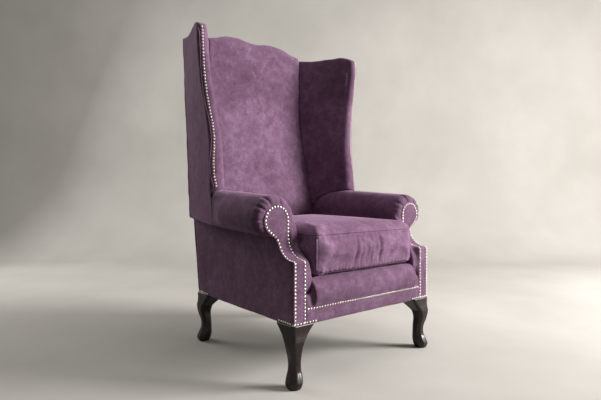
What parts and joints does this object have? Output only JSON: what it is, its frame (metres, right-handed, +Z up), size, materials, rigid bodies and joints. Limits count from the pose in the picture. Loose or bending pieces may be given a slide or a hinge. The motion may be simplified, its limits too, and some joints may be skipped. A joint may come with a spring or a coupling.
{
  "type": "wingback armchair",
  "caption": "High-backed wing chair with rolled arms, a loose seat cushion, nailed velvet covers and short curved wooden legs.",
  "frame": {"origin": "on the floor, under the middle of the chair's footprint", "axes": "+Z up, -Y the way the chair faces, +X towards the sitter's left"},
  "size_m": [0.854, 0.8173, 1.313],
  "materials": {
    "velvet": "velvet pile",
    "mahogany": "dark polish",
    "frame_wood": "bare",
    "steel": "plain",
    "webbing": "woven",
    "deck_cloth": "plain weave",
    "dust_cloth": "matt",
    "foam": "open cell",
    "zip": "plain tape"
  },
  "bodies": {
    "chair": {"leg_front_left": "mahogany", "leg_front_right": "mahogany", "leg_rear_left": "mahogany", "leg_rear_right": "mahogany", "front_rail": "frame_wood", "rear_rail": "frame_wood", "lower_back_rail": "frame_wood", "crest_rail": "frame_wood", "side_rail_left": "frame_wood", "side_rail_right": "frame_wood", "back_post_left": "frame_wood", "back_post_right": "frame_wood", "corner_braces": "frame_wood", "arm_scroll_left": "frame_wood", "arm_scroll_right": "frame_wood", "arm_stump_left": "frame_wood", "arm_stump_right": "frame_wood", "arm_rail_left": "frame_wood", "arm_rail_right": "frame_wood", "arm_tack_rail_left": "frame_wood", "arm_tack_rail_right": "frame_wood", "wing_post_left": "frame_wood", "wing_post_right": "frame_wood", "wing_rail_left": "frame_wood", "wing_rail_right": "frame_wood", "inside_back": "velvet", "arm_facing_left": "velvet", "arm_facing_right": "velvet", "outside_arm_left": "velvet", "outside_arm_right": "velvet", "inside_arm_left": "velvet", "inside_arm_right": "velvet", "inside_wing_left": "velvet", "inside_wing_right": "velvet", "outside_wing_left": "velvet", "outside_wing_right": "velvet", "outside_back": "velvet", "lower_back_panel": "velvet", "front_border": "velvet", "leg_bolts": "steel", "seat_webbing": "webbing", "back_webbing": "webbing", "seat_deck": "deck_cloth", "dust_cover": "dust_cloth"},
    "cushion": {"cushion_cover": "velvet", "cushion_core": "foam", "cushion_zip": "zip", "cushion_piping": "velvet"}
  },
  "joints": [
    {"name": "cushion_lift_out", "type": "slide", "parent": "chair", "child": "cushion", "axis": [0, -0.9397, 0.342], "range_m": [0, 0.62]}
  ]
}
